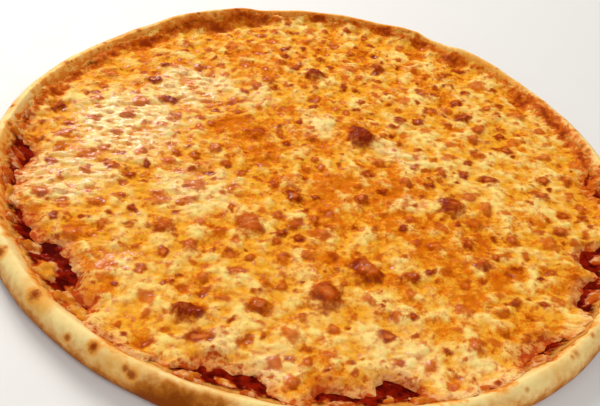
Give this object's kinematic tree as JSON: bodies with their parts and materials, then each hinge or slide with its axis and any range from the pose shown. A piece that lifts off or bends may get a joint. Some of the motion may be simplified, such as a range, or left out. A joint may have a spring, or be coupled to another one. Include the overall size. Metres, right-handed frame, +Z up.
{
  "type": "cheese pizza",
  "caption": "Whole uncut thin-crust cheese pizza with a raised rim, tomato sauce showing in patches and melted, blistered, browned cheese.",
  "frame": {"origin": "middle of the outline on the flat underside of the crust, which rests on the table", "axes": "+Z up through the toppings, +X to the right and +Y away in the view that shows the palest rim nearest"},
  "size_m": [0.4024, 0.4078, 0.0185],
  "materials": {
    "crust": "baked wheat dough, pale and satin on the rim with round brown spots, dry below",
    "sauce": "cooked tomato sauce, dark red, wet and pulpy",
    "cheese": "melted mozzarella, yellow to orange with browned blisters, oily"
  },
  "bodies": {
    "root": {"crust": "crust", "sauce": "sauce", "cheese": "cheese"}
  },
  "joints": []
}
